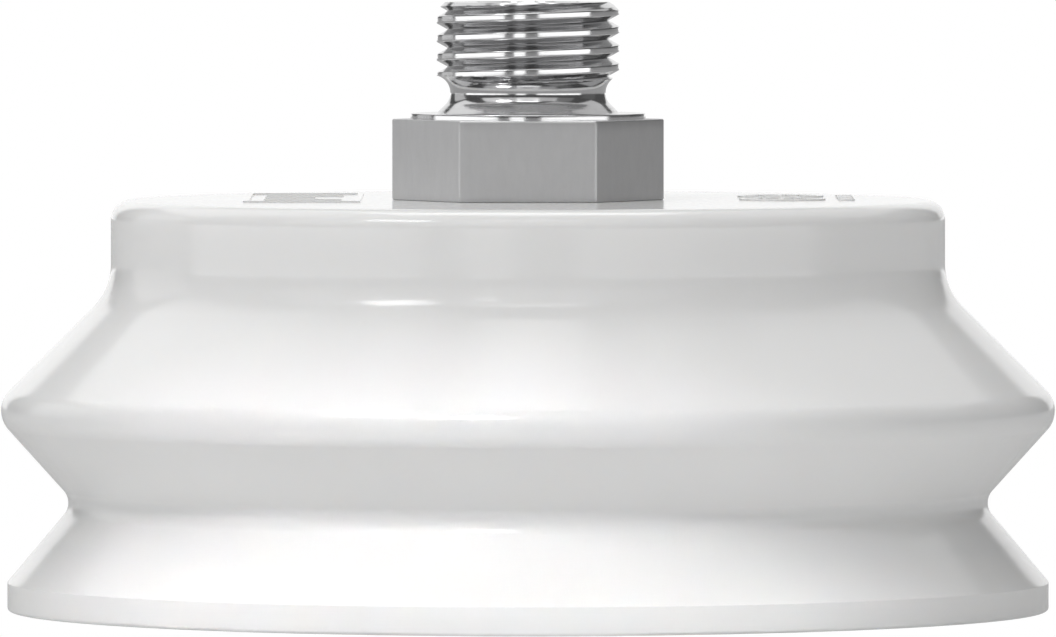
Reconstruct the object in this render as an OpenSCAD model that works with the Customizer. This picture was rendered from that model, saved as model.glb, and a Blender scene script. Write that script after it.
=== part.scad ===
// Vacuum suction cup: a 75 mm silicone bellows on a G1/4 hexagon nipple.
// The cup stands on its lip. The origin is the centre of the lip's contact plane, with +Z up the axis.
// The silicone is one moulding. It is cut into rings, which stay stiff, and walls, which fold between them.

/* [Bellows] */
// Outside diameter of the sealing lip
lip_d = 75; // [74.6:0.1:75.8]
// Height of the lip's upright band
lip_h = 2.04; // [1.8:0.02:2.3]
// Width of the ring that touches the workpiece
contact_w = 1.2; // [0.8:0.1:1.6]
// Diameter of the waist, before its fillet
neck_d = 65.34; // [64.8:0.02:65.8]
// Height of the waist
neck_z = 7.79; // [7.6:0.01:7.9]
// Diameter of the fold's crest, before its fillet
crest_d = 77.42; // [77:0.02:77.8]
// Height of the fold's crest
crest_z = 14.49; // [14.3:0.01:14.7]
// Outside diameter of the crown
crown_d = 60.06; // [59:0.02:61]
// Height where the crown's wall meets the fold, before its fillet
root_z = 23.14; // [22.9:0.01:23.4]
// Height of the crown's flat top
crown_z = 29.55; // [29:0.05:30]
// Thickness of the crown's top
crown_t = 3.2; // [3:0.1:3.4]
// Thickness of the walls
wall_t = 2.3; // [2:0.1:2.5]

/* [Fillets of the bellows] */
// Crown's top edge
edge_r = 1.4; // [1:0.1:1.6]
// Hollow where the crown meets the fold
root_r = 4.5; // [4:0.1:4.8]
// Crest of the fold
crest_r = 2.03; // [1.6:0.01:2.2]
// Waist
neck_r = 1.38; // [1:0.01:1.6]

/* [Mould marks] */
// Height of the marks on the crown's top
mark_h = 0.12; // [0.06:0.02:0.3]
// How far behind the axis the marks are centred
mark_y = 4; // [0:0.5:5]
// How far to the left the panel is centred
panel_x = 16.2; // [15:0.1:18]
// Width of the panel
panel_w = 8.4; // [6:0.1:9]
// Length of the panel
panel_l = 24; // [16:0.5:25]
// How far to the right the dials are centred
dial_x = 18.3; // [15:0.1:18.6]
// Radius of a dial
dial_r = 3.1; // [2.2:0.1:3.5]
// How far to the right the row of pips is
pip_x = 22.9; // [22.5:0.1:23.5]

/* [Connector] */
// Hexagon across its flats
hex_af = 17; // [15:0.1:17.6]
// Height of the hexagon
hex_h = 5.84; // [5:0.01:6.5]
// Height of the washer face on the hexagon
face_h = 0.41; // [0.3:0.01:0.6]
// Outside diameter of the G1/4 thread
thread_d = 13.157; // [13.1:0.001:13.2]
// Pitch of the G1/4 thread
thread_pitch = 1.337; // [1.3:0.001:1.4]
// Depth of the thread's groove
thread_depth = 0.78; // [0.7:0.01:0.84]
// Width of the thread's groove at the crest
groove_w = 0.85; // [0.84:0.01:0.87]
// Overall height of the cup
total_h = 43.8; // [43.6:0.05:44.2]
// Diameter of the thread relief
relief_d = 11.19; // [11:0.01:11.3]
// Radius of the relief under the thread
relief_upper_r = 1.26; // [1.2:0.01:1.3]
// Radius of the relief over the washer face
relief_lower_r = 1.12; // [0.8:0.01:1.12]
// Diameter of the vacuum bore
bore_d = 7; // [6:0.1:7.2]
// Diameter of the lower thread, under the hexagon
shank_d = 10; // [9.8:0.1:10.2]
// Pitch of the lower thread
shank_pitch = 1; // [0.95:0.01:1.05]
// Depth of the lower thread's groove
shank_depth = 0.61; // [0.5:0.01:0.65]
// Width of the lower thread's groove at the crest
shank_groove_w = 0.8; // [0.7:0.01:0.85]

/* [Clamping] */
// Thickness of the support plate
plate_t = 3; // [2:0.1:3.2]
// Number of vent holes in the support plate
vent_count = 6; // [3:1:10]
// Diameter of a vent hole
vent_d = 3.4; // [2:0.1:4]
// Diameter of the circle of vent holes
vent_pcd = 36; // [32:0.5:40]
// Outside diameter of the flat washer
washer_d = 20; // [19:0.1:21]
// Thickness of the flat washer
washer_t = 1; // [0.8:0.1:1.2]
// Outside diameter of the spring washer
spring_d = 16; // [15.5:0.1:18]
// Thickness of the spring washer
spring_t = 1.6; // [1.4:0.1:1.8]
// Clamp nut across its flats
nut_af = 17; // [16:0.1:18]
// Height of the clamp nut
nut_h = 5; // [4.5:0.1:5.2]

/* [Hidden] */
$fn = 96;

SILICONE = [0.95, 0.95, 0.94];
PLATED = [0.72, 0.72, 0.73];
ALUMINIUM = [0.80, 0.81, 0.83];
STEEL = [0.62, 0.63, 0.65];

ARC_STEP = 9;      // degrees of arc between two points of a rounded corner
BREAK = 0.25;      // small radius on the lip's two bottom edges
EPS = 0.01;

// Heights at which the moulding is cut into rings and walls. The upper wall is 6.9 mm high and folds by
// 5.4 mm, the lower wall is 4 mm high and folds by 3.6 mm, and each skirt wall takes a tilt of 2.5 degrees.
CROWN_CUT = root_z - 0.14;
CREST_HALF = 1.6;
NECK_TOP = neck_z + 1.11;
NECK_BOTTOM = neck_z - 0.89;
RING_TOP = 5.3;
RING_BOTTOM = 4.4;
LIP_TOP = lip_h + 0.46;

// Places down the clamping stack, from the underside of the crown's top.
HEX_TOP = crown_z + hex_h;
FACE_TOP = HEX_TOP + face_h;
PLATE_TOP = crown_z - crown_t;
PLATE_BOTTOM = PLATE_TOP - plate_t;
WASHER_BOTTOM = PLATE_BOTTOM - washer_t;
SPRING_BOTTOM = WASHER_BOTTOM - spring_t;
NUT_BOTTOM = SPRING_BOTTOM - nut_h;
SHANK_PROUD = 0.75;  // how far the shank stands out of the nut
SHANK_BOTTOM = NUT_BOTTOM - SHANK_PROUD;
PLATE_GAP = 0.4;   // between the support plate and the crown's wall

// ---- Outlines with round corners ----

function unit(v) = v / norm(v);

// The points that replace corner b, between a and c, by an arc of radius r.
function round_corner(a, b, c, r) =
    r <= 0 ? [b] :
    let (
        u = unit(a - b),
        v = unit(c - b),
        half = acos(u * v) / 2,
        centre = b + unit(u + v) * r / sin(half),
        from = b + u * r / tan(half) - centre,
        to = b + v * r / tan(half) - centre,
        start = atan2(from.y, from.x),
        sweep = (atan2(to.y, to.x) - start + 540) % 360 - 180,
        n = max(2, ceil(abs(sweep) / ARC_STEP))
    )
    [for (i = [0 : n]) centre + r * [cos(start + sweep * i / n), sin(start + sweep * i / n)]];

// A closed outline from corners [x, y, radius].
function rounded(corners) =
    let (n = len(corners), xy = [for (p = corners) [p.x, p.y]])
    [for (i = [0 : n - 1]) each round_corner(xy[(i + n - 1) % n], xy[i], xy[(i + 1) % n], corners[i].z)];

// The place of corner b of a downward path a, b, c once the path moves t towards the axis.
function inset(a, b, c, t) =
    let (
        d1 = unit(b - a),
        d2 = unit(c - b),
        n1 = [d1.y, -d1.x],
        n2 = [d2.y, -d2.x]
    )
    b + t * (n1 + n2) / (1 + n1 * n2);

// ---- The silicone moulding ----

// Outside corners, from the crown down to the lip.
TOP = [crown_d / 2, crown_z];
ROOT = [crown_d / 2, root_z];
CREST = [crest_d / 2, crest_z];
NECK = [neck_d / 2, neck_z];
CREASE = [lip_d / 2, lip_h];

// Inside corners, one wall thickness in.
IN_ROOT = inset(TOP, ROOT, CREST, wall_t);
IN_CREST = inset(ROOT, CREST, NECK, wall_t);
IN_NECK = inset(CREST, NECK, CREASE, wall_t);

function with_radius(p, r) = [p.x, p.y, r];

BELLOWS = rounded([
    [shank_d / 2, crown_z, 0],
    with_radius(TOP, edge_r),
    with_radius(ROOT, root_r),
    with_radius(CREST, crest_r),
    with_radius(NECK, neck_r),
    with_radius(CREASE, 0),
    [lip_d / 2, 0, BREAK],
    [lip_d / 2 - contact_w, 0, BREAK],
    with_radius(IN_NECK, neck_r + wall_t),
    with_radius(IN_CREST, BREAK),
    with_radius(IN_ROOT, root_r + wall_t),
    [IN_ROOT.x, PLATE_TOP, 0],
    [shank_d / 2, PLATE_TOP, 0]
]);

// The moulding between two heights.
module bellows_zone(low, high) {
    color(SILICONE)
        rotate_extrude()
            intersection() {
                polygon(BELLOWS);
                translate([0, low]) square([crest_d, high - low]);
            }
}

MARK_W = 0.4;      // width of the marks' outlines
TICK_W = 0.3;
TICK_L = 0.9;
TICK_GAP = 0.3;    // from a dial's edge to its ticks, inside the ring
BAR_W = 0.5;
BAR_INSET = 1;     // from a panel's outline to its bars
SHORT_BAR = 0.65;  // length of a short bar against a long one
PIP_R = 0.6;
PIP_PITCH = 3;
DIAL_PITCH = 9;
POINTERS = [60, 130];  // where the dials point, in degrees

MARK_SINK = 0.1;   // how far the marks reach into the crown
MARK_T = MARK_SINK + mark_h;

// A dial of ticks with a pointer, as a mould insert leaves.
module dial_mark(r, turn) {
    difference() {
        cylinder(r = r, h = MARK_T);
        translate([0, 0, -1]) cylinder(r = r - MARK_W, h = MARK_T + 2);
    }
    for (a = [0 : 30 : 330])
        rotate(a) translate([r - TICK_L - TICK_GAP, -TICK_W / 2, 0]) cube([TICK_L, TICK_W, MARK_T]);
    rotate(turn) translate([-MARK_W / 2, -MARK_W / 2, 0]) cube([r / 2, MARK_W, MARK_T]);
}

// A blank panel with bars across it. Its middle bar is shorter.
module panel_mark(w, l) {
    difference() {
        translate([-w / 2, -l / 2, 0]) cube([w, l, MARK_T]);
        translate([-w / 2 + MARK_W, -l / 2 + MARK_W, -1])
            cube([w - 2 * MARK_W, l - 2 * MARK_W, MARK_T + 2]);
    }
    bar = w - 2 * MARK_W - 2 * BAR_INSET;
    for (i = [-1 : 1])
        translate([-bar / 2, i * l / 4 - BAR_W / 2, 0])
            cube([i == 0 ? SHORT_BAR * bar : bar, BAR_W, MARK_T]);
}

// Mould marks on the crown's top: a panel on one side, two dials and a row of pips on the other.
module mould_marks() {
    translate([0, mark_y, crown_z - MARK_SINK]) {
        translate([-panel_x, 0, 0]) panel_mark(panel_w, panel_l);
        for (i = [0, 1])
            translate([dial_x, (i - 0.5) * DIAL_PITCH, 0]) dial_mark(dial_r, POINTERS[i]);
        for (i = [-2 : 2])
            translate([pip_x, i * PIP_PITCH, 0]) cylinder(r = PIP_R, h = MARK_T);
    }
}

module crown() {
    color(SILICONE) {
        bellows_zone(CROWN_CUT, total_h);
        intersection() {
            mould_marks();
            cylinder(r = crown_d / 2 - edge_r, h = total_h);
        }
    }
}

module upper_wall() {
    bellows_zone(crest_z + CREST_HALF, CROWN_CUT);
}

module crest_ring() {
    bellows_zone(crest_z - CREST_HALF, crest_z + CREST_HALF);
}

module lower_wall() {
    bellows_zone(NECK_TOP, crest_z - CREST_HALF);
}

module neck_ring() {
    bellows_zone(NECK_BOTTOM, NECK_TOP);
}

module skirt_upper_wall() {
    bellows_zone(RING_TOP, NECK_BOTTOM);
}

module skirt_ring() {
    bellows_zone(RING_BOTTOM, RING_TOP);
}

module skirt_lower_wall() {
    bellows_zone(LIP_TOP, RING_BOTTOM);
}

module lip() {
    bellows_zone(0, LIP_TOP);
}

// ---- The connector ----

// A right-hand helical V groove to cut from a cylinder of radius r. It runs from height low to high, and
// at height mark the middle of the groove faces -X.
module v_groove(r, depth, width, pitch, low, high, mark, steps) {
    flat = 0.02;   // half the flat at the groove's root
    slope = (width / 2 - flat) / depth;
    out = 0.1;     // how far the cutter reaches past the crest
    section = [
        [r - depth, -flat],
        [r - depth, flat],
        [r + out, width / 2 + out * slope],
        [r + out, -width / 2 - out * slope]
    ];
    count = ceil((high - low) / pitch * steps);
    start = 180 + (low - mark) / pitch * 360;
    points = [
        for (i = [0 : count], p = section)
            let (a = start + i * 360 / steps, z = low + i * pitch / steps + p.y)
            [p.x * cos(a), p.x * sin(a), z]
    ];
    sides = [
        for (i = [0 : count - 1], j = [0 : 3])
            let (k = 4 * i + j, m = 4 * i + (j + 1) % 4)
            each [[k, m + 4, m], [k, k + 4, m + 4]]
    ];
    last = 4 * count;
    ends = [
        [0, 1, 2], [0, 2, 3],
        [last, last + 2, last + 1], [last, last + 3, last + 2]
    ];
    polyhedron(points, concat(sides, ends));
}

THREAD_L = 5.3;                 // length of the crest, with its end chamfer
THREAD_START = total_h - THREAD_L;
THREAD_MARK = total_h - THREAD_L / 2 + thread_pitch / 2;  // where the middle of the groove faces -X
RUN_OUT = 0.5;                  // how far the groove runs into the relief
SHANK_LEAD = 0.8;               // how far under the shank its groove starts
THREAD_STEPS = 32;              // steps a turn
SHANK_STEPS = 24;
CHAMFER = 0.6;                  // of both threads' ends
BORE_CHAMFER = 0.4;
NIPPLE_ROOT = crown_z + 1;      // where the turned outline steps out, inside the hexagon
FACE_BREAK = 0.1;               // small radius on the washer face's edge
FLARE_W = thread_d / 2 - relief_d / 2;

// The relief's arc up to the thread's first crest.
RELIEF_SWEEP = acos(1 - FLARE_W / relief_upper_r);
RELIEF_C = [relief_d / 2 + relief_upper_r, THREAD_START - relief_upper_r * sin(RELIEF_SWEEP)];
RELIEF_ARC = [
    for (i = [0 : 8])
        let (a = 180 - i * RELIEF_SWEEP / 8, p = RELIEF_C + relief_upper_r * [cos(a), sin(a)])
        [p.x, p.y, 0]
];

// The turned outline: shank, washer face, relief and thread blank.
NIPPLE = rounded([
    [0, SHANK_BOTTOM, 0],
    [shank_d / 2 - CHAMFER, SHANK_BOTTOM, 0],
    [shank_d / 2, SHANK_BOTTOM + CHAMFER, 0],
    [shank_d / 2, NIPPLE_ROOT, 0],
    [hex_af / 2, NIPPLE_ROOT, 0],
    [hex_af / 2, FACE_TOP, FACE_BREAK],
    [relief_d / 2 + FLARE_W, FACE_TOP, 0],
    [relief_d / 2, FACE_TOP + FLARE_W, relief_lower_r],
    each RELIEF_ARC,
    [thread_d / 2, total_h - CHAMFER, 0],
    [thread_d / 2 - CHAMFER, total_h, 0],
    [0, total_h, 0]
]);

// The bore with a chamfer at each mouth.
module vacuum_bore() {
    r = bore_d / 2;
    c = BORE_CHAMFER;
    translate([0, 0, SHANK_BOTTOM - 1]) cylinder(r = r, h = total_h);
    translate([0, 0, total_h - c]) cylinder(r1 = r, r2 = r + c + EPS, h = c + EPS);
    translate([0, 0, SHANK_BOTTOM - EPS]) cylinder(r1 = r + c + EPS, r2 = r, h = c + EPS);
}

module connector() {
    color(PLATED)
        difference() {
            union() {
                rotate_extrude() polygon(NIPPLE);
                translate([0, 0, crown_z]) cylinder(d = hex_af / cos(30), h = hex_h, $fn = 6);
            }
            vacuum_bore();
            v_groove(thread_d / 2, thread_depth, groove_w, thread_pitch,
                THREAD_START - RUN_OUT, total_h + 1, THREAD_MARK, THREAD_STEPS);
            v_groove(shank_d / 2, shank_depth, shank_groove_w, shank_pitch,
                SHANK_BOTTOM - SHANK_LEAD, PLATE_BOTTOM, SHANK_BOTTOM, SHANK_STEPS);
        }
}

// ---- The clamping stack inside the crown ----

PLATE_CHAMFER = 0.4;
PLATE_PLAY = 0.2;  // how much wider than the shank each hole is
WASHER_PLAY = 0.4;
SPRING_PLAY = 0.2;
SPLIT_W = 0.8;     // gap in the spring washer, and its lean in degrees
SPLIT_LEAN = 20;
NUT_CHAMFER = 0.5;

module support_plate() {
    r = IN_ROOT.x - PLATE_GAP;
    c = PLATE_CHAMFER;
    color(ALUMINIUM)
        difference() {
            translate([0, 0, PLATE_BOTTOM])
                rotate_extrude()
                    polygon([[0, 0], [r - c, 0], [r, c], [r, plate_t - c], [r - c, plate_t], [0, plate_t]]);
            translate([0, 0, PLATE_BOTTOM - 1]) cylinder(d = shank_d + PLATE_PLAY, h = plate_t + 2);
            for (i = [0 : vent_count - 1])
                rotate(i * 360 / vent_count + 30)
                    translate([vent_pcd / 2, 0, PLATE_BOTTOM - 1])
                        cylinder(d = vent_d, h = plate_t + 2);
        }
}

module flat_washer() {
    color(STEEL)
        translate([0, 0, WASHER_BOTTOM])
            difference() {
                cylinder(d = washer_d, h = washer_t);
                translate([0, 0, -1]) cylinder(d = shank_d + WASHER_PLAY, h = washer_t + 2);
            }
}

// A split ring of square section, pressed flat.
module spring_washer() {
    color(STEEL)
        translate([0, 0, SPRING_BOTTOM])
            difference() {
                cylinder(d = spring_d, h = spring_t);
                translate([0, 0, -1]) cylinder(d = shank_d + SPRING_PLAY, h = spring_t + 2);
                translate([spring_d / 2, 0, spring_t / 2])
                    rotate([SPLIT_LEAN, 0, 0])
                        cube([spring_d, SPLIT_W, 3 * spring_t], center = true);
            }
}

// The nut's thread is left as a plain hole at the shank's outside diameter.
module clamp_nut() {
    c = NUT_CHAMFER;
    corner_r = nut_af / 2 / cos(30);
    color(STEEL)
        translate([0, 0, NUT_BOTTOM])
            difference() {
                intersection() {
                    cylinder(r = corner_r, h = nut_h, $fn = 6);
                    rotate_extrude()
                        polygon([
                            [0, 0], [corner_r - 2 * c, 0], [corner_r, c],
                            [corner_r, nut_h - c], [corner_r - 2 * c, nut_h], [0, nut_h]
                        ]);
                }
                translate([0, 0, -1]) cylinder(d = shank_d, h = nut_h + 2);
                translate([0, 0, -EPS]) cylinder(d1 = shank_d + 2 * c, d2 = shank_d, h = c);
            }
}

connector();
support_plate();
flat_washer();
spring_washer();
clamp_nut();
crown();
upper_wall();
crest_ring();
lower_wall();
neck_ring();
skirt_upper_wall();
skirt_ring();
skirt_lower_wall();
lip();
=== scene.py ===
"""Looks of a vacuum suction cup: a white silicone bellows on a hexagon nipple with a pipe thread."""

import math

import bmesh
import bpy
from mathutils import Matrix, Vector

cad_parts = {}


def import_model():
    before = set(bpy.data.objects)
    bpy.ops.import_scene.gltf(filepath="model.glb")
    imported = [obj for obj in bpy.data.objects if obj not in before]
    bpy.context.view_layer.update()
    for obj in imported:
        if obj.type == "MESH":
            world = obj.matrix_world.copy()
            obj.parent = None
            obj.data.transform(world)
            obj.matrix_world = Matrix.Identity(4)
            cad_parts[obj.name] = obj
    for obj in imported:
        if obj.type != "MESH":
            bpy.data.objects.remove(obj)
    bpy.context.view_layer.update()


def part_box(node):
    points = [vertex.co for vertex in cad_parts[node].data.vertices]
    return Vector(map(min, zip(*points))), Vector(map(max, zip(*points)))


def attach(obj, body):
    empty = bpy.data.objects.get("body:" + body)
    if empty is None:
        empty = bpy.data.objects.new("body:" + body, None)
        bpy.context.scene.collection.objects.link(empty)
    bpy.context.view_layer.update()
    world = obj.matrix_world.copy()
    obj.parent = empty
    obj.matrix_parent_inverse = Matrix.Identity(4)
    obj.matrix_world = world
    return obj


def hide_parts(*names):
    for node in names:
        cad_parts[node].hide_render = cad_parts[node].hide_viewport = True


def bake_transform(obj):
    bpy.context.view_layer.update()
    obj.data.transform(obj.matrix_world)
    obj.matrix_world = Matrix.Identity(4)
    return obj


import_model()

MM = 0.001
SEGMENTS = 240            # steps round the axis
SHARP = math.radians(32)  # edges that turn by more than this stay crisp
WELD = 1e-7               # points closer than this, in metres, are one point

# Dimensions in millimetres, as in the CAD model.
LIP_R = 37.5
LIP_H = 2.04
CONTACT_W = 1.2
NECK = (32.67, 7.79)
CREST = (38.71, 14.49)
CROWN_R = 30.03
ROOT_Z = 23.14
CROWN_Z = 29.55
CROWN_T = 3.2
WALL_T = 2.3
EDGE_R = 1.4
ROOT_R = 4.5
CREST_R = 2.03
NECK_R = 1.38
BREAK = 0.25
CREASE_R = 0.05
EDGE_RING = 0.12         # a ring of faces just inside the crown's rounded edge

# The moulded marks on the crown.
MARK_H = 0.12            # how far they stand out
MARK_SINK = 0.1          # how far they reach into the crown
MARK_Y = 4.0             # the middle of every group of marks
PANEL_X = -16.2
PANEL_W = 8.4
PANEL_L = 24.0
PANEL_LINE = 0.4
BAR_W = 0.5
BAR_GAP = 1.0            # between a bar and the panel's sides
SHORT_BAR = 0.65         # the middle bar's share of the others' length
DIAL_X = 18.3
DIAL_R = 3.1
DIAL_STEP = 9
POINTERS = (60, 130)     # where each dial points, in degrees
PIP_X = 22.9
PIP_R = 0.6
PIP_STEP = 3
PIPS = 5

HEX_AF = 17.0
HEX_H = 5.84
HEX_BEVEL = 0.13
HEX_HOLE = 5.2
FACE_H = 0.41
FACE_GAP = 0.04          # the washer face stops this far inside the hexagon's flats
FACE_SINK = 0.05         # and reaches this far down into the hexagon
THREAD_R = 6.5785
THREAD_L = 5.3
THREAD_PITCH = 1.337
THREAD_DEPTH = 0.78
THREAD_CHAMFER = 0.6
GROOVE_W = 0.85
BLUNT = 0.03             # rounds a thread's crests and roots
RELIEF_R = 5.595
RELIEF_LOWER_R = 1.12
RELIEF_UPPER_R = 1.26
BORE_R = 3.5
BORE_CHAMFER = 0.4
SHANK_R = 5.0
SHANK_PITCH = 1.0
SHANK_DEPTH = 0.61
SHANK_GROOVE_W = 0.8
SHANK_TOP_Z = 23.0       # where the lower thread ends, hidden inside the flat washer
SHANK_ROWS = 16          # rows of points for each turn of a thread
THREAD_ROWS = 40
TOP_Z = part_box("connector")[1].z / MM
SHANK_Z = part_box("connector")[0].z / MM
THREAD_MARK = TOP_Z - THREAD_L / 2 + THREAD_PITCH / 2
HEX_Z = CROWN_Z + HEX_H
FACE_Z = HEX_Z + FACE_H

PLATE_EDGE = 0.4
PLATE_PLAY = 0.1         # each play is the gap between a hole and the shank
WASHER_PLAY = 0.2
SPRING_PLAY = 0.1
NUT_PLAY = 0.02
VENTS = 6
VENT_R = 1.7
VENT_CIRCLE_R = 18
SPLIT_W = 0.8
SPLIT_LEAN = 20
NUT_CHAMFER = 0.5

# Where the bellows bends. Each seam lies in a part that stays stiff.
FOLD_TOP = 25.0
SEAM_CREST = CREST[1]
SEAM_NECK = 8.0
SEAM_SKIRT = 4.85
FOLD_BOTTOM = LIP_H


# ---- Outlines: lists of (radius, height) ----

def round_corner(a, b, c, radius, step):
    """The points that replace corner b, between a and c, by an arc."""
    if radius <= 0:
        return [b]
    u, v = (a - b).normalized(), (c - b).normalized()
    half = u.angle(v) / 2
    centre = b + (u + v).normalized() * radius / math.sin(half)
    first = b + u * radius / math.tan(half) - centre
    last = b + v * radius / math.tan(half) - centre
    start = math.atan2(first.y, first.x)
    sweep = (math.atan2(last.y, last.x) - start + 3 * math.pi) % (2 * math.pi) - math.pi
    count = max(2, math.ceil(abs(sweep) / math.radians(step)))
    angles = [start + sweep * i / count for i in range(count + 1)]
    return [centre + radius * Vector((math.cos(t), math.sin(t))) for t in angles]


def rounded(corners, run, closed=True):
    """An outline from corners (r, z, radius, degrees a step), with straight runs cut to length run."""
    at = [Vector(c[:2]) for c in corners]
    n = len(at)
    path = []
    for i, corner in enumerate(corners):
        path += round_corner(at[i - 1], at[i], at[(i + 1) % n], corner[2], corner[3])
    last = path[0] if closed else path[-1]
    out = []
    for a, b in zip(path, path[1:] + [last]):
        if (b - a).length < 1e-6:
            continue
        count = max(1, math.ceil((b - a).length / run))
        out += [a.lerp(b, i / count) for i in range(count)]
    return out if closed else out + [last]


def inset(a, b, c, t):
    """Corner b of the downward path a, b, c once the path moves t towards the axis."""
    d1, d2 = (b - a).normalized(), (c - b).normalized()
    n1, n2 = Vector((d1.y, -d1.x)), Vector((d2.y, -d2.x))
    return b + t * (n1 + n2) / (1 + n1.dot(n2))


def clip(points, level, above):
    """The part of a closed outline above or below a level."""
    side = 1 if above else -1
    out = []
    for a, b in zip(points, points[1:] + points[:1]):
        da, db = side * (a.y - level), side * (b.y - level)
        if da >= 0:
            out.append(a)
        if (da > 0 > db) or (da < 0 < db):
            out.append(a.lerp(b, da / (da - db)))
    return out


def bellows_outline():
    """The wall of the whole bellows: down the outside, across the lip and up the inside."""
    top, root = Vector((CROWN_R, CROWN_Z)), Vector((CROWN_R, ROOT_Z))
    crest, neck = Vector(CREST), Vector(NECK)
    crease = Vector((LIP_R, LIP_H))
    in_root = inset(top, root, crest, WALL_T)
    in_crest = inset(root, crest, neck, WALL_T)
    in_neck = inset(crest, neck, crease, WALL_T)
    ceiling = CROWN_Z - CROWN_T
    return rounded([
        (SHANK_R, CROWN_Z, 0, 1),
        (CROWN_R - EDGE_R - EDGE_RING, CROWN_Z, 0, 1),
        (*top, EDGE_R, 4),
        (*root, ROOT_R, 2),
        (*crest, CREST_R, 1),
        (*neck, NECK_R, 1.2),
        (*crease, CREASE_R, 12),
        (LIP_R, 0, BREAK, 12),
        (LIP_R - CONTACT_W, 0, BREAK, 12),
        (*in_neck, NECK_R + WALL_T, 3),
        (*in_crest, BREAK, 12),
        (*in_root, ROOT_R + WALL_T, 4),
        (in_root.x, ceiling, 0.2, 15),
        (SHANK_R, ceiling, 0, 1),
    ], run=0.45)


# ---- Meshes ----

def shade(bm):
    """Smooth faces, with crisp edges where the surface turns sharply."""
    for face in bm.faces:
        face.smooth = True
    for edge in bm.edges:
        edge.smooth = edge.is_manifold and edge.calc_face_angle(0) < SHARP


def new_piece(name, bm):
    """Puts a mesh into the scene as an object."""
    mesh = bpy.data.meshes.new(name)
    bm.to_mesh(mesh)
    bm.free()
    piece = bpy.data.objects.new(name, mesh)
    bpy.context.scene.collection.objects.link(piece)
    return piece


def finish_mesh(name, bm, material):
    """Makes the object: one closed mesh, shaded and with its material."""
    bmesh.ops.remove_doubles(bm, verts=bm.verts, dist=WELD)
    bmesh.ops.dissolve_degenerate(bm, edges=bm.edges, dist=WELD)
    bmesh.ops.recalc_face_normals(bm, faces=bm.faces)
    shade(bm)
    piece = new_piece(name, bm)
    piece.data.materials.append(material)
    return piece


def loft(rows, wrap=True):
    """A closed skin over rows of points (in millimetres). The last row joins the first. So do the points of
    each row if wrap is set; otherwise a row's last point lies on the first point of some row."""
    bm = bmesh.new()
    grid = [[bm.verts.new(Vector(p) * MM) for p in row] for row in rows]
    count = len(grid[0])
    for one, two in zip(grid, grid[1:] + grid[:1]):
        for i in range(count if wrap else count - 1):
            j = (i + 1) % count
            bm.faces.new((one[i], one[j], two[j], two[i]))
    return bm


def revolve(points, segments=SEGMENTS):
    """A closed outline turned about Z."""
    turn = [2 * math.pi * i / segments for i in range(segments)]
    return loft([[(p.x * math.cos(t), p.x * math.sin(t), p.y) for t in turn] for p in points])


def apply_modifiers(piece):
    """Keeps the mesh that the modifiers give."""
    graph = bpy.context.evaluated_depsgraph_get()
    mesh = bpy.data.meshes.new_from_object(piece.evaluated_get(graph))
    piece.modifiers.clear()
    piece.data = mesh


def combine(piece, cutters, operation):
    """Takes the cutters out of the piece, or adds them to it."""
    bm = bmesh.new()
    for cutter in cutters:
        bm.from_mesh(cutter.data)
    joined = finish_mesh("cutter", bm, piece.data.materials[0])
    modifier = piece.modifiers.new("combine", "BOOLEAN")
    modifier.object = joined
    modifier.operation = operation
    modifier.solver = "EXACT"
    modifier.use_self = True
    apply_modifiers(piece)
    for spare in [joined, *cutters]:
        bpy.data.objects.remove(spare)
    bm = bmesh.new()
    bm.from_mesh(piece.data)
    shade(bm)
    bm.to_mesh(piece.data)
    bm.free()


def block(low, high, turn=0.0, about=(0.0, 0.0)):
    """A box between two corners, turned about a point by an angle. Its corners are counted from there."""
    bm = bmesh.new()
    bmesh.ops.create_cube(bm, size=1)
    c, s = math.cos(turn), math.sin(turn)
    for v in bm.verts:
        p = [low[i] + (v.co[i] + 0.5) * (high[i] - low[i]) for i in range(3)]
        v.co = Vector((about[0] + p[0] * c - p[1] * s, about[1] + p[0] * s + p[1] * c, p[2])) * MM
    return new_piece("block", bm)


def drum(centre, radius, low, high, sides=40):
    """An upright cylinder."""
    bm = bmesh.new()
    bmesh.ops.create_cone(bm, cap_ends=True, segments=sides, radius1=radius * MM, radius2=radius * MM,
                          depth=(high - low) * MM)
    bmesh.ops.translate(bm, verts=bm.verts, vec=Vector((*centre, (low + high) / 2)) * MM)
    return new_piece("drum", bm)


# ---- Materials ----

NOISE_RANGE = (0.3, 0.7)  # nearly all of a noise's values lie between these


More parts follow.
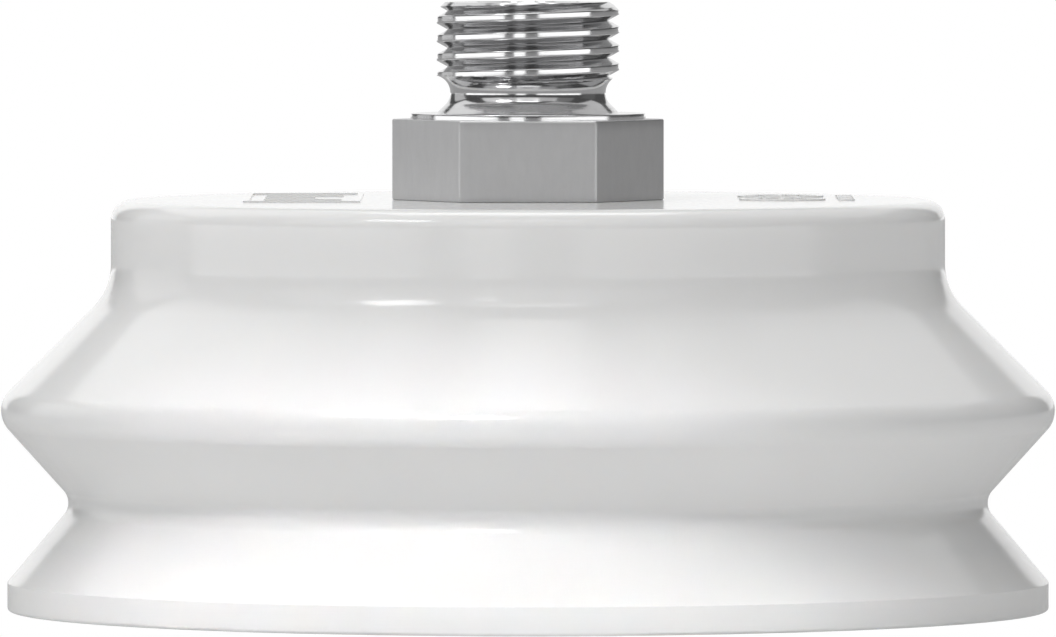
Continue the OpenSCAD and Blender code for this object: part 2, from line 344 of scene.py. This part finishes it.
class Shader:
    """A small builder for node materials."""

    def __init__(self, name, **sockets):
        self.material = bpy.data.materials.new(name)
        self.material.use_nodes = True
        self.tree = self.material.node_tree
        self.surface = self.tree.nodes["Principled BSDF"]
        for key, value in sockets.items():
            self.surface.inputs[key.replace("_", " ")].default_value = value
        self.place = self.node("ShaderNodeTexCoord").outputs["Object"]

    def node(self, kind, **settings):
        made = self.tree.nodes.new(kind)
        for key, value in settings.items():
            setattr(made, key, value)
        return made

    def link(self, source, target):
        self.tree.links.new(source, target)

    def noise(self, scale, detail=2.0, stretch=(1, 1, 1), roughness=0.5):
        """Noise in space. A stretch below 1 draws it out along that axis."""
        mapping = self.node("ShaderNodeMapping")
        mapping.inputs["Scale"].default_value = stretch
        self.link(self.place, mapping.inputs["Vector"])
        made = self.node("ShaderNodeTexNoise")
        made.inputs["Scale"].default_value = scale
        made.inputs["Detail"].default_value = detail
        made.inputs["Roughness"].default_value = roughness
        self.link(mapping.outputs["Vector"], made.inputs["Vector"])
        return made.outputs["Fac"]

    def radial(self):
        """Distance from the axis."""
        flat = self.node("ShaderNodeVectorMath", operation="MULTIPLY")
        flat.inputs[1].default_value = (1, 1, 0)
        self.link(self.place, flat.inputs[0])
        length = self.node("ShaderNodeVectorMath", operation="LENGTH")
        self.link(flat.outputs["Vector"], length.inputs[0])
        return length.outputs["Value"]

    def height(self):
        """Height above the lip."""
        split = self.node("ShaderNodeSeparateXYZ")
        self.link(self.place, split.inputs["Vector"])
        return split.outputs["Z"]

    def lines(self, along, scale, detail=3.0):
        """Noise that depends on one number alone, such as the lines of a turning tool."""
        made = self.node("ShaderNodeTexNoise", noise_dimensions="1D")
        made.inputs["Scale"].default_value = scale
        made.inputs["Detail"].default_value = detail
        self.link(along, made.inputs["W"])
        return made.outputs["Fac"]

    def span(self, value, low, high):
        """A noise spread over a range of values."""
        made = self.node("ShaderNodeMapRange")
        made.inputs["From Min"].default_value = NOISE_RANGE[0]
        made.inputs["From Max"].default_value = NOISE_RANGE[1]
        made.inputs["To Min"].default_value = low
        made.inputs["To Max"].default_value = high
        self.link(value, made.inputs["Value"])
        return made.outputs["Result"]

    def colour(self, value, dark, light):
        """Base colour that a noise varies between two shades."""
        made = self.node("ShaderNodeValToRGB")
        for stop, position, shade_of in zip(made.color_ramp.elements, NOISE_RANGE, (dark, light)):
            stop.position = position
            stop.color = (*shade_of, 1)
        self.link(value, made.inputs["Fac"])
        self.link(made.outputs["Color"], self.surface.inputs["Base Color"])

    def bump(self, value, depth_mm, strength=1.0):
        """Relief on top of any relief that is there already."""
        made = self.node("ShaderNodeBump")
        made.inputs["Strength"].default_value = strength
        made.inputs["Distance"].default_value = depth_mm * MM
        self.link(value, made.inputs["Height"])
        under = self.surface.inputs["Normal"]
        if under.is_linked:
            self.link(under.links[0].from_socket, made.inputs["Normal"])
        self.link(made.outputs["Normal"], under)


def silicone():
    s = Shader("silicone_white", Roughness=0.14, IOR=1.43, Subsurface_Weight=0.12, Subsurface_Scale=MM)
    s.surface.inputs["Subsurface Radius"].default_value = (1.4, 1.2, 1.0)
    cloud = s.noise(60, 3)
    grain = s.noise(3000, 2, roughness=0.6)
    s.colour(cloud, (0.84, 0.84, 0.835), (0.86, 0.86, 0.855))
    s.link(s.span(grain, 0.12, 0.16), s.surface.inputs["Roughness"])
    s.bump(grain, 0.004, 0.25)
    return s.material


def turned_steel():
    s = Shader("turned_steel", Metallic=1.0, Roughness=0.14)
    rings = s.lines(s.height(), 9000)
    s.colour(s.noise(300, 3), (0.56, 0.56, 0.565), (0.62, 0.62, 0.625))
    s.link(s.span(rings, 0.10, 0.18), s.surface.inputs["Roughness"])
    s.bump(rings, 0.002, 0.35)
    return s.material


def satin_steel():
    s = Shader("satin_steel", Metallic=1.0, Roughness=0.42)
    brushed = s.noise(1500, 4, stretch=(1, 1, 0.3), roughness=0.7)
    grain = s.noise(5000, 2)
    s.colour(brushed, (0.62, 0.62, 0.625), (0.65, 0.65, 0.655))
    s.link(s.span(grain, 0.37, 0.43), s.surface.inputs["Roughness"])
    s.bump(grain, 0.003, 0.25)
    return s.material


def turned_aluminium():
    s = Shader("turned_aluminium", Metallic=1.0, Roughness=0.34)
    rings = s.lines(s.radial(), 4500)
    s.colour(s.noise(120, 3), (0.78, 0.79, 0.80), (0.84, 0.85, 0.86))
    s.link(s.span(rings, 0.28, 0.42), s.surface.inputs["Roughness"])
    s.bump(rings, 0.01, 0.5)
    return s.material


def zinc_steel():
    s = Shader("zinc_steel", Metallic=1.0, Roughness=0.36)
    spangle = s.noise(700, 4, roughness=0.7)
    s.colour(spangle, (0.55, 0.56, 0.58), (0.66, 0.67, 0.69))
    s.link(s.span(spangle, 0.28, 0.46), s.surface.inputs["Roughness"])
    s.bump(spangle, 0.008, 0.3)
    return s.material


# ---- The bellows ----

def mould_marks():
    """A blank panel on one side of the crown, two dials and a row of pips on the other."""
    low, high = CROWN_Z - MARK_SINK, CROWN_Z + MARK_H
    made = []

    def bar(x0, y0, x1, y1, turn=0, about=(0, 0)):
        made.append(block((x0, y0, low), (x1, y1, high), math.radians(turn), about))

    left, right = PANEL_X - PANEL_W / 2, PANEL_X + PANEL_W / 2
    front, back = MARK_Y - PANEL_L / 2, MARK_Y + PANEL_L / 2
    bar(left, front, right, front + PANEL_LINE)
    bar(left, back - PANEL_LINE, right, back)
    bar(left, front, left + PANEL_LINE, back)
    bar(right - PANEL_LINE, front, right, back)
    full = PANEL_W - 2 * PANEL_LINE - 2 * BAR_GAP
    for i, share in zip((-1, 0, 1), (1, SHORT_BAR, 1)):
        start, y = PANEL_X - full / 2, MARK_Y + i * PANEL_L / 4
        bar(start, y - BAR_W / 2, start + full * share, y + BAR_W / 2)

    tick_start, tick_end, tick_w = DIAL_R - 1.2, DIAL_R - 0.3, 0.3
    rim_start, rim_chord = DIAL_R - 0.4, 0.9
    hand_tail, hand_tip, hand_w = -0.2, DIAL_R / 2 - 0.2, 0.4
    for side, pointer in zip((-0.5, 0.5), POINTERS):
        centre = (DIAL_X, MARK_Y + side * DIAL_STEP)
        for turn in range(0, 360, 30):
            bar(tick_start, -tick_w / 2, tick_end, tick_w / 2, turn, centre)
        for turn in range(0, 360, 15):
            bar(rim_start, -rim_chord / 2, DIAL_R, rim_chord / 2, turn, centre)
        bar(hand_tail, -hand_w / 2, hand_tip, hand_w / 2, pointer, centre)

    for i in range(PIPS):
        centre = (PIP_X, MARK_Y + (i - (PIPS - 1) / 2) * PIP_STEP)
        made.append(drum(centre, PIP_R, low, high, 20))
    return made


def bellows(material):
    """The silicone, as four pieces that meet at the seams."""
    whole = bellows_outline()

    def piece(name, low, high):
        return finish_mesh(name, revolve(clip(clip(whole, low, True), high, False)), material)

    upper = piece("bellows_crown", SEAM_CREST, CROWN_Z + 1)
    combine(upper, mould_marks(), "UNION")
    middle = piece("bellows_fold", SEAM_NECK, SEAM_CREST)
    skirt = piece("bellows_skirt", SEAM_SKIRT, SEAM_NECK)
    lip = piece("bellows_lip", -1, SEAM_SKIRT)
    joins = [
        (upper, "head", "crest", FOLD_TOP, SEAM_CREST, ("crown", "upper_wall")),
        (middle, "crest", "neck", SEAM_CREST, SEAM_NECK, ("crest_ring", "lower_wall")),
        (skirt, "neck", "skirt", SEAM_NECK, SEAM_SKIRT, ("neck_ring", "skirt_upper_wall")),
        (lip, "skirt", "rim", SEAM_SKIRT, FOLD_BOTTOM, ("skirt_ring", "skirt_lower_wall", "lip")),
    ]
    for one, a, b, start, end, nodes in joins:
        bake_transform(one)
        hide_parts(*nodes)


# ---- The connector ----

def soft_min(a, b, k):
    """The smaller of two numbers, rounded over where they cross."""
    return (a + b - math.hypot(a - b, k)) / 2


def groove_radius(s, crest, depth, width, pitch):
    """Radius of a V thread at distance s along the axis from the middle of a groove."""
    s = abs((s + pitch / 2) % pitch - pitch / 2)
    slope = width / 2 / depth
    flank = crest - depth + math.hypot(s / slope, BLUNT) - BLUNT
    return soft_min(flank, crest, BLUNT)


def threaded_rows(envelope, low, high, crest, depth, width, pitch, mark, steps, segments):
    """Rows of a right-hand thread under an envelope, with that many rows a turn. At height mark the groove
    faces -X. Each row climbs one pitch, so its last point meets the first point of a row a turn higher."""
    rows = []
    for k in range(math.ceil((high - low) / pitch * steps) + steps + 1):
        row = []
        for i in range(segments + 1):
            t = 2 * math.pi * i / segments
            z = min(max(low + pitch * (i / segments + k / steps - 1), low), high)
            s = z - mark - pitch * (i / segments - 0.5)
            r = min(envelope(z), groove_radius(s, crest, depth, width, pitch))
            row.append((r * math.cos(t), r * math.sin(t), z))
        rows.append(row)
    return rows


def ring(radius, z, segments):
    """A level row for the loft of a thread, with its first point again at its end."""
    turn = [2 * math.pi * i / segments for i in range(segments + 1)]
    return [(radius * math.cos(t), radius * math.sin(t), z) for t in turn]


def nipple(material):
    """The turned part: shank, washer face, relief, thread and through-bore."""
    segments = 192
    thread_z = TOP_Z - THREAD_L
    flare = THREAD_R - RELIEF_R
    sweep = math.acos(1 - flare / RELIEF_UPPER_R)
    arc_z = thread_z - RELIEF_UPPER_R * math.sin(sweep)

    def upper(z):
        if z < thread_z:
            side = math.sqrt(max(RELIEF_UPPER_R ** 2 - (z - arc_z) ** 2, 0))
            return RELIEF_R + RELIEF_UPPER_R - side
        return min(THREAD_R, TOP_Z - THREAD_CHAMFER + THREAD_R - z)

    def lower(z):
        return min(SHANK_R, SHANK_R - THREAD_CHAMFER + z - SHANK_Z)

    face_r = HEX_AF / 2 - FACE_GAP
    core_r, core_z = face_r - 1, HEX_Z - 1  # a step that is hidden inside the hexagon
    neck = rounded([
        (SHANK_R, core_z, 0, 1),
        (core_r, core_z, 0, 1),
        (core_r, HEX_Z - FACE_SINK, 0, 1),
        (face_r, HEX_Z - FACE_SINK, 0, 1),
        (face_r, FACE_Z, 0.08, 15),
        (RELIEF_R + flare, FACE_Z, 0.06, 15),
        (RELIEF_R, FACE_Z + flare, RELIEF_LOWER_R, 3),
        (RELIEF_R, arc_z - 0.001, 0, 1),
    ], run=0.3, closed=False)
    bore_l = TOP_Z - SHANK_Z - 2 * BORE_CHAMFER
    bore_steps = 12
    rows = threaded_rows(lower, SHANK_Z, SHANK_TOP_Z, SHANK_R, SHANK_DEPTH, SHANK_GROOVE_W, SHANK_PITCH,
                         SHANK_Z, SHANK_ROWS, segments)
    rows += [ring(p.x, p.y, segments) for p in neck]
    rows += threaded_rows(upper, arc_z, TOP_Z, THREAD_R, THREAD_DEPTH, GROOVE_W, THREAD_PITCH,
                          THREAD_MARK, THREAD_ROWS, segments)
    rows += [ring(BORE_R + BORE_CHAMFER, TOP_Z, segments)]
    for i in range(bore_steps + 1):
        rows.append(ring(BORE_R, TOP_Z - BORE_CHAMFER - i * bore_l / bore_steps, segments))
    rows += [ring(BORE_R + BORE_CHAMFER, SHANK_Z, segments)]
    piece = finish_mesh("nipple", loft(rows, wrap=False), material)
    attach(piece, "head")
    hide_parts("connector")


def hexagon_radius(t, apothem, crispness=150):
    """Radius of a hexagon with corners on X and slightly rounded corners, at angle t."""
    sides = [abs(math.cos(t - math.radians(30 + 60 * k))) for k in range(3)]
    return apothem / sum(c ** crispness for c in sides) ** (1 / crispness)


def hexagon_angles():
    """Angles round a hexagon, close together at its corners."""
    near = [0, 0.06, 0.12, 0.2, 0.3, 0.45, 0.7, 1.1, 2, 4, 8, 14, 20, 26]
    half = near + [30] + [60 - a for a in reversed(near[1:])]
    return [math.radians(60 * k + a) for k in range(6) for a in half]


def hexagon_ring(apothem, z, cone=math.inf):
    """A level row round a hexagon, no wider than the cone that turns its corners down."""
    made = []
    for t in hexagon_angles():
        r = min(hexagon_radius(t, apothem), cone)
        made.append((r * math.cos(t), r * math.sin(t), z))
    return made


def round_row(radius, z):
    """A level circle, with a point for each point of a hexagon's row."""
    return [(radius * math.cos(t), radius * math.sin(t), z) for t in hexagon_angles()]


def hexagon(material):
    """The spanner hexagon, with a fine bevel round its top and bottom."""
    apothem = HEX_AF / 2
    bevel_steps, flat_steps = 5, 8
    flat_h = HEX_H - 2 * HEX_BEVEL

    def edge(z, up):
        made = []
        for i in range(bevel_steps + 1):
            t = math.radians(90 * i / bevel_steps)
            in_by, up_by = HEX_BEVEL * (1 - math.cos(t)), up * HEX_BEVEL * math.sin(t)
            made.append(hexagon_ring(apothem - in_by, z + up_by))
        return made

    rows = [round_row(HEX_HOLE, CROWN_Z), hexagon_ring(apothem - 1, CROWN_Z)]
    rows += reversed(edge(CROWN_Z + HEX_BEVEL, -1))
    for i in range(1, flat_steps):
        rows.append(hexagon_ring(apothem, CROWN_Z + HEX_BEVEL + i * flat_h / flat_steps))
    rows += edge(HEX_Z - HEX_BEVEL, 1)
    rows += [hexagon_ring(apothem - 1, HEX_Z), round_row(HEX_HOLE, HEX_Z)]
    piece = finish_mesh("hexagon", loft(rows), material)
    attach(piece, "head")


# ---- The clamping stack ----

def ring_outline(inner, outer, low, high, edge=0.15):
    """The section of a flat ring with rounded edges."""
    corners = [(inner, low), (outer, low), (outer, high), (inner, high)]
    return rounded([(*corner, edge, 20) for corner in corners], run=1.5)


def box_mm(node):
    """Half the width, the bottom and the top of a CAD node."""
    low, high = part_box(node)
    return high.x / MM, low.z / MM, high.z / MM


def support_plate(material):
    """The disc that keeps the crown flat, with its ring of vents."""
    outer, low, high = box_mm("support_plate")
    outline = ring_outline(SHANK_R + PLATE_PLAY, outer, low, high, PLATE_EDGE)
    piece = finish_mesh("support_disc", revolve(outline), material)
    vents = []
    for i in range(VENTS):
        t = math.radians(360 * i / VENTS + 30)
        centre = (VENT_CIRCLE_R * math.cos(t), VENT_CIRCLE_R * math.sin(t))
        vents.append(drum(centre, VENT_R, low - 1, high + 1))
    combine(piece, vents, "DIFFERENCE")
    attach(piece, "head")
    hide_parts("support_plate")


def flat_washer(material):
    outer, low, high = box_mm("flat_washer")
    outline = ring_outline(SHANK_R + WASHER_PLAY, outer, low, high)
    piece = finish_mesh("washer", revolve(outline, SEGMENTS // 2), material)
    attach(piece, "head")
    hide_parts("flat_washer")


def spring_washer(material):
    """The split washer, pressed flat, with its slanting cut."""
    outer, low, high = box_mm("spring_washer")
    outline = ring_outline(SHANK_R + SPRING_PLAY, outer, low, high)
    piece = finish_mesh("lock_washer", revolve(outline, SEGMENTS // 2), material)
    middle = (low + high) / 2
    split = block((SHANK_R - 1, -SPLIT_W / 2, low - 1), (outer + 1, SPLIT_W / 2, high + 1))
    for v in split.data.vertices:
        v.co.y -= (v.co.z - middle * MM) * math.tan(math.radians(SPLIT_LEAN))
    combine(piece, [split], "DIFFERENCE")
    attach(piece, "head")
    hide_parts("spring_washer")


def clamp_nut(material):
    """A hexagon nut. A cone turns its corners down at both ends, and its hole is chamfered."""
    outer, low, high = box_mm("clamp_nut")
    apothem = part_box("clamp_nut")[1].y / MM

    def row(z):
        near = min(z - low, high - z)
        return hexagon_ring(apothem, z, outer - 2 * NUT_CHAMFER + 2 * near)

    # Depths of the rows below each end, close together where the cone cuts the corners.
    steps = [0, 0.1, 0.2, 0.3, 0.4, 0.5, 0.7, 1.2, 2]
    levels = [low + s for s in steps] + [high - s for s in reversed(steps)]
    hole, mouth = SHANK_R + NUT_PLAY, SHANK_R + NUT_CHAMFER
    rows = [round_row(hole, low + NUT_CHAMFER), round_row(mouth, low)]
    rows += [row(z) for z in levels]
    rows += [round_row(mouth, high), round_row(hole, high - NUT_CHAMFER)]
    piece = finish_mesh("nut", loft(rows), material)
    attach(piece, "head")
    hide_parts("clamp_nut")


# ---- Stage, light and camera ----

FLOOR_R = 400            # metres, so that its rim is lost in the white
FLOOR_GREY = 0.6
FLOOR_GLOW = 0.16        # the light that the floor gives of its own
FLOOR_MIRRORED = 0.45    # how bright it looks in the metal and on the glossy silicone
WORLD_GLOW = 0.1
PURE_WHITE = 1.0         # the floor and the world, as the camera sees them

# Where the camera stands and the point that it looks at, in metres.
CAMERA_AT = (0, -1.151, 0.0573)
CAMERA_AIM = (0, 0, 0.0210)
CAMERA_LENS = 545


def soft_box(name, azimuth, elevation, width, height, radiance,
             distance=2.0, target=(0, 0, 0.02), spread=180):
    """A soft box that faces the object. Its angles are in degrees: its place, counted to the left from the
    camera's side, how wide and high it looks from the object, and how far its light spreads."""
    a, e = math.radians(azimuth), math.radians(elevation)
    target = Vector(target)
    away = Vector((-math.sin(a) * math.cos(e), -math.cos(a) * math.cos(e), math.sin(e)))
    data = bpy.data.lights.new(name, "AREA")
    data.shape = "RECTANGLE"
    data.size, data.size_y = [2 * distance * math.tan(math.radians(w / 2)) for w in (width, height)]
    data.energy = radiance * math.pi * data.size * data.size_y
    data.spread = math.radians(spread)
    lamp = bpy.data.objects.new(name, data)
    lamp.location = target + away * distance
    lamp.rotation_mode = "QUATERNION"
    lamp.rotation_quaternion = (target - lamp.location).to_track_quat("-Z", "Y")
    lamp.visible_camera = False
    bpy.context.scene.collection.objects.link(lamp)


def plain_white(tree, strength, kind):
    """White light of one strength, from an emission or a background node."""
    made = tree.nodes.new(kind)
    made.inputs["Color"].default_value = (1, 1, 1, 1)
    made.inputs["Strength"].default_value = strength
    return made.outputs[0]


def mixed(tree, share, first, second):
    """The first shader, or the second one where the share is 1."""
    made = tree.nodes.new("ShaderNodeMixShader")
    tree.links.new(share, made.inputs["Fac"])
    tree.links.new(first, made.inputs[1])
    tree.links.new(second, made.inputs[2])
    return made.outputs["Shader"]


def floor():
    """A white floor out to the horizon. It glows to the camera, and it is clear when seen from below."""
    bm = bmesh.new()
    bmesh.ops.create_circle(bm, cap_ends=True, segments=64, radius=FLOOR_R)
    material = bpy.data.materials.new("floor_white")
    material.use_nodes = True
    tree = material.node_tree
    surface = tree.nodes["Principled BSDF"]
    surface.inputs["Base Color"].default_value = (FLOOR_GREY, FLOOR_GREY, FLOOR_GREY, 1)
    surface.inputs["Roughness"].default_value = 0.9
    surface.inputs["Emission Color"].default_value = (1, 1, 1, 1)
    surface.inputs["Emission Strength"].default_value = FLOOR_GLOW
    path = tree.nodes.new("ShaderNodeLightPath")
    seen = path.outputs["Is Camera Ray"]
    below = tree.nodes.new("ShaderNodeNewGeometry").outputs["Backfacing"]
    clear = tree.nodes.new("ShaderNodeBsdfTransparent").outputs["BSDF"]
    glow = plain_white(tree, PURE_WHITE, "ShaderNodeEmission")
    mirrored = plain_white(tree, FLOOR_MIRRORED, "ShaderNodeEmission")
    above = mixed(tree, path.outputs["Is Glossy Ray"], surface.outputs["BSDF"], mirrored)
    above = mixed(tree, seen, above, glow)
    tree.links.new(mixed(tree, below, above, clear), tree.nodes["Material Output"].inputs["Surface"])
    piece = new_piece("floor", bm)
    piece.data.materials.append(material)


def world():
    """White behind the object as seen, and a faint light from all round."""
    made = bpy.data.worlds.new("studio")
    bpy.context.scene.world = made
    made.use_nodes = True
    tree = made.node_tree
    tree.nodes.clear()
    seen = tree.nodes.new("ShaderNodeLightPath").outputs["Is Camera Ray"]
    light = plain_white(tree, WORLD_GLOW, "ShaderNodeBackground")
    white = plain_white(tree, PURE_WHITE, "ShaderNodeBackground")
    out = tree.nodes.new("ShaderNodeOutputWorld")
    tree.links.new(mixed(tree, seen, light, white), out.inputs["Surface"])


# Soft boxes: name, azimuth, elevation, width, height, radiance.
SOFT_BOXES = [
    ("key", 44, 47, 15, 9, 11.0),
    ("front_left_high", 60, 36, 28, 26, 0.85),
    ("front_left", 30, 36, 28, 26, 0.6),
    ("front", 0, 36, 28, 26, 0.95),
    ("front_high", 0, 54, 26, 5, 4.0),
    ("front_right", -30, 36, 28, 26, 0.55),
    ("right", -60, 36, 28, 26, 0.15),
    ("back_left_low", 125, 10, 30, 26, 0.6),
    ("back_right_low", -105, 10, 30, 26, 0.05),
    ("back_low", 180, 14, 40, 34, 0.9),
    ("back_left", 135, 45, 40, 34, 1.0),
    ("back_right", -135, 45, 40, 34, 0.6),
    ("high_left", 75, 63, 34, 24, 0.7),
    ("high_right", -75, 63, 34, 24, 0.45),
    ("top_back", 180, 76, 34, 22, 4.2),
    ("zenith", 0, 88, 14, 8, 2.0),
]
# Low bands, level with the object, for the metal to reflect: name, azimuth, width, radiance.
BANDS = [
    ("band_left", 67, 75, 1.9),
    ("band_front", 10.5, 14, 1.9),
    ("band_right", -49, 72, 1.9),
]


# A point at the front of the skirt, in metres.
SKIRT_FRONT = (-0.004, -0.0355, 0.003)


def lights():
    """The soft boxes, the bands and a narrow strip that whitens the front of the skirt."""
    for box in SOFT_BOXES:
        soft_box(*box)
    for name, azimuth, width, radiance in BANDS:
        soft_box(name, azimuth, 1, width, 8, radiance, distance=0.9)
    soft_box("skirt_strip", 12, 48, 26, 5, 0.7, distance=0.15, target=SKIRT_FRONT, spread=12)


def camera():
    """A long lens, from far in front and a little above."""
    data = bpy.data.cameras.new("camera")
    data.lens = CAMERA_LENS
    data.sensor_width = 36
    data.clip_start, data.clip_end = 0.05, 1000
    piece = bpy.data.objects.new("camera", data)
    piece.location = CAMERA_AT
    aim = Vector(CAMERA_AIM) - piece.location
    piece.rotation_mode = "QUATERNION"
    piece.rotation_quaternion = aim.to_track_quat("-Z", "Y")
    bpy.context.scene.collection.objects.link(piece)
    bpy.context.scene.camera = piece


def build():
    bpy.context.scene.view_settings.view_transform = "Standard"
    camera()
    bellows(silicone())
    nipple(turned_steel())
    hexagon(satin_steel())
    support_plate(turned_aluminium())
    zinc = zinc_steel()
    flat_washer(zinc)
    spring_washer(zinc)
    clamp_nut(zinc)
    floor()
    world()
    lights()


build()
